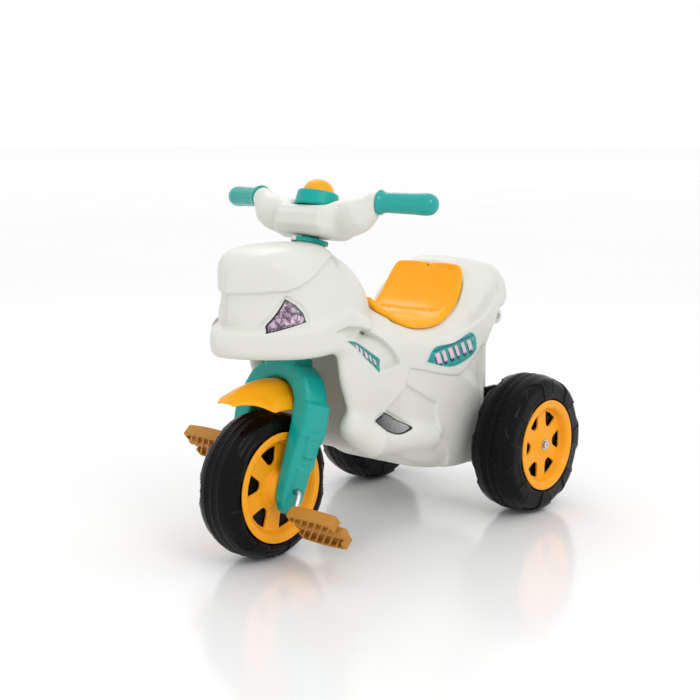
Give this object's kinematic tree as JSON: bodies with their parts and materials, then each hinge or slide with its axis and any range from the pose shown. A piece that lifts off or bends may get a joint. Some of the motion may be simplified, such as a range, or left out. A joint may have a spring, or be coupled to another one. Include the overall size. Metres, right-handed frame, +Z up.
{
  "type": "children's tricycle",
  "caption": "Motorcycle-styled ride-on tricycle with a saddle seat, steered fork, pedal-driven front wheel, push-button horn and free rear wheels.",
  "frame": {"origin": "centre of the bounding box in plan, on the floor", "axes": "+Z up, front wheel towards -Y, +X to the rider's left"},
  "size_m": [0.439, 0.765, 0.5823],
  "materials": {
    "white_body": "satin blow-moulded polyethylene",
    "teal_plastic": "satin moulded plastic",
    "yellow_plastic": "satin moulded plastic",
    "amber_plastic": "dull moulded plastic",
    "black_plastic": "soft-sheen blow-moulded plastic",
    "plated_steel": "bright zinc plating",
    "teal_label": "printed glossy label",
    "dark_label": "printed glossy label"
  },
  "bodies": {
    "body": {"main_body": "white_body", "tow_lug": "white_body", "seat": "yellow_plastic", "steering_collar": "teal_plastic", "axle_bracket_left": "black_plastic", "axle_bracket_right": "black_plastic", "headlight_label_left": "dark_label", "headlight_label_right": "dark_label", "flank_label_left": "teal_label", "flank_label_right": "teal_label", "tail_label_left": "teal_label", "tail_label_right": "teal_label", "vent_label_left": "dark_label", "vent_label_right": "dark_label", "rear_axle": "plated_steel", "hub_washer_left": "plated_steel", "hub_washer_right": "plated_steel", "hub_screw_left": "plated_steel", "hub_screw_right": "plated_steel"},
    "steering": {"fork": "teal_plastic", "handlebar": "white_body", "grip_left": "teal_plastic", "grip_right": "teal_plastic", "horn_housing": "teal_plastic", "front_fender": "yellow_plastic"},
    "horn_button": {"horn_button": "yellow_plastic"},
    "front_wheel": {"front_tyre": "black_plastic", "front_rim_left": "yellow_plastic", "front_rim_right": "yellow_plastic", "crank_axle": "plated_steel"},
    "pedal_left": {"pedal_left": "amber_plastic"},
    "pedal_right": {"pedal_right": "amber_plastic"},
    "rear_wheel_left": {"rear_tyre_left": "black_plastic", "rear_rim_left": "yellow_plastic"},
    "rear_wheel_right": {"rear_tyre_right": "black_plastic", "rear_rim_right": "yellow_plastic"}
  },
  "joints": [
    {"name": "steering_turn", "type": "hinge", "parent": "body", "child": "steering", "pos_m": [0, -0.206, 0.301], "axis": [0, 0.2554, 0.9668], "range_deg": [-30, 30]},
    {"name": "horn_press", "type": "slide", "parent": "steering", "child": "horn_button", "axis": [0, 0.2554, 0.9668], "range_m": [-0.004, 0], "stiffness_N_per_m": 400},
    {"name": "front_wheel_spin", "type": "hinge", "parent": "steering", "child": "front_wheel", "pos_m": [0, -0.27, 0.115], "axis": [1, 0, 0], "continuous": true},
    {"name": "pedal_left_spin", "type": "hinge", "parent": "front_wheel", "child": "pedal_left", "pos_m": [0.145, -0.298, 0.078], "axis": [1, 0, 0], "continuous": true},
    {"name": "pedal_right_spin", "type": "hinge", "parent": "front_wheel", "child": "pedal_right", "pos_m": [-0.145, -0.242, 0.152], "axis": [1, 0, 0], "continuous": true},
    {"name": "rear_wheel_left_spin", "type": "hinge", "parent": "body", "child": "rear_wheel_left", "pos_m": [0.175, 0.209, 0.12], "axis": [1, 0, 0], "continuous": true},
    {"name": "rear_wheel_right_spin", "type": "hinge", "parent": "body", "child": "rear_wheel_right", "pos_m": [-0.175, 0.209, 0.12], "axis": [1, 0, 0], "continuous": true}
  ]
}
